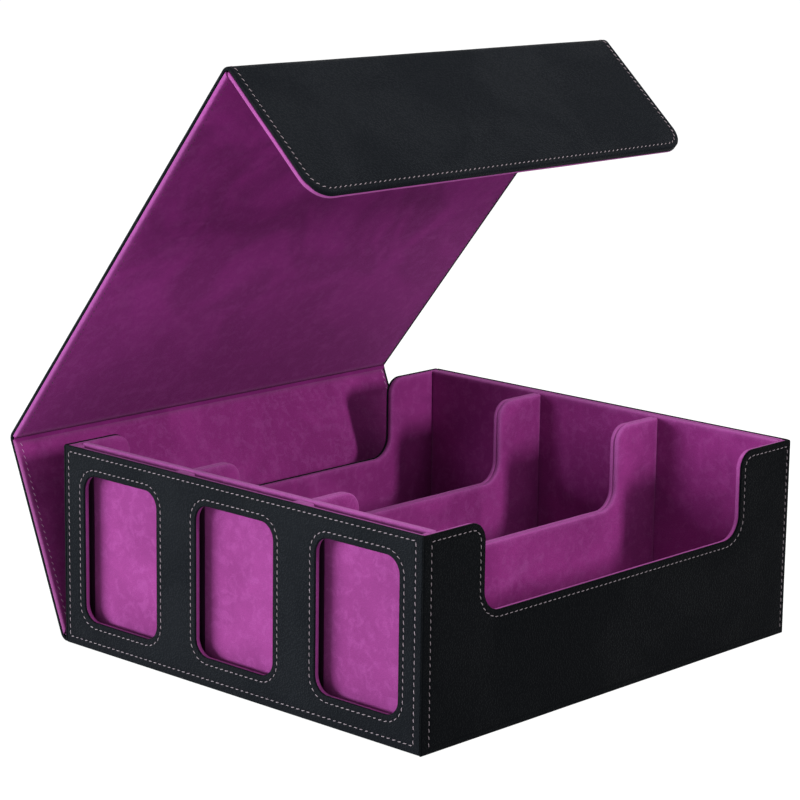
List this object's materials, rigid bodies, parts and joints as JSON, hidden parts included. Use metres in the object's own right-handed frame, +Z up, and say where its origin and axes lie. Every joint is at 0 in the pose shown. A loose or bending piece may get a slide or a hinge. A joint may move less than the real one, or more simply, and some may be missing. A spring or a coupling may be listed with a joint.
{
  "type": "trading card box",
  "caption": "Leather-covered card box with open rows, a windowed display end and a wrap-round lid that folds on soft creases.",
  "frame": {"origin": "middle of the box's footprint, on the surface that it stands on", "axes": "+X along the card rows, away from the window end; +Y towards the lid's hinge; +Z up"},
  "size_m": [0.3, 0.3159, 0.3247],
  "materials": {
    "black_leather": "satin",
    "greyboard": "matte",
    "purple_lining": "matte",
    "magnet": "satin",
    "thread": "matte"
  },
  "bodies": {
    "box": {"bottom_leather": "black_leather", "base_board": "greyboard", "floor_lining": "purple_lining", "front_leather": "black_leather", "front_board": "greyboard", "front_lining": "purple_lining", "front_magnets": "magnet", "back_leather": "black_leather", "back_board": "greyboard", "back_lining": "purple_lining", "window_leather": "black_leather", "window_board": "greyboard", "window_lining": "purple_lining", "slot_spacers": "purple_lining", "slot_sill": "purple_lining", "display_backing_board": "greyboard", "display_backing_lining": "purple_lining", "far_end_board": "greyboard", "far_end_lining": "purple_lining", "far_leather": "black_leather", "far_board": "greyboard", "far_lining": "purple_lining", "divider_1_front_board": "greyboard", "divider_1_front_lining": "purple_lining", "divider_1_back_board": "greyboard", "divider_1_back_lining": "purple_lining", "divider_2_front_board": "greyboard", "divider_2_front_lining": "purple_lining", "divider_2_back_board": "greyboard", "divider_2_back_lining": "purple_lining"},
    "lid_back": {"lid_back_leather": "black_leather", "lid_back_board": "greyboard", "lid_back_lining": "purple_lining"},
    "lid_top": {"lid_top_leather": "black_leather", "lid_top_board": "greyboard", "lid_top_lining": "purple_lining"},
    "lid_flap": {"lid_flap_leather": "black_leather", "lid_flap_board": "greyboard", "lid_flap_lining": "purple_lining", "flap_magnets": "magnet"}
  },
  "joints": [
    {"name": "back_hinge", "type": "hinge", "parent": "box", "child": "lid_back", "pos_m": [0, 0.1382, 0.0006], "axis": [1, 0, 0], "range_deg": [-68.1, 21.9]},
    {"name": "top_crease", "type": "hinge", "parent": "lid_back", "child": "lid_top", "pos_m": [0, 0.18132, 0.10786], "axis": [1, 0, 0], "range_deg": [-60.8, 29.2]},
    {"name": "flap_crease", "type": "hinge", "parent": "lid_top", "child": "lid_flap", "pos_m": [0, 0.00682, 0.32412], "axis": [1, 0, 0], "range_deg": [-91, 0]}
  ]
}
